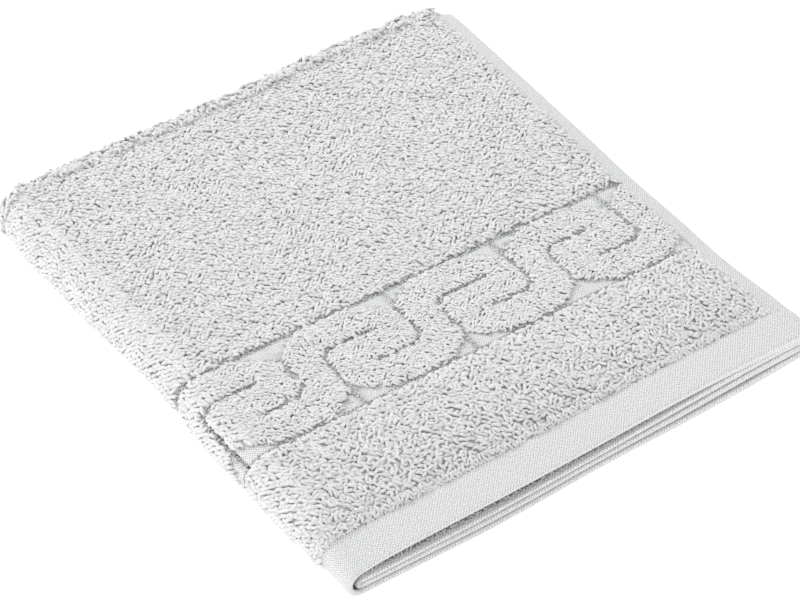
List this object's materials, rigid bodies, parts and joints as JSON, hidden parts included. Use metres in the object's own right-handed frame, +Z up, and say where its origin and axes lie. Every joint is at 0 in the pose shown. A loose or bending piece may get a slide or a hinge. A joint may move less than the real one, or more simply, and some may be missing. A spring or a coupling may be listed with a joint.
{
  "type": "folded washcloth",
  "caption": "Terry washcloth folded in quarters and lying flat, with a woven Greek key border in relief and flat turned hems along its front edge.",
  "frame": {"origin": "centre of the folded cloth's underside, on the surface it lies on", "axes": "+Z up through the stack of plies, +Y from the hems at the front to the back fold, +X from the left fold to the selvedges"},
  "size_m": [0.1548, 0.1656, 0.0159],
  "materials": {
    "terry_cotton": "looped cotton pile, matt, light silver grey"
  },
  "bodies": {
    "root": {"folded_washcloth": "terry_cotton"}
  },
  "joints": []
}
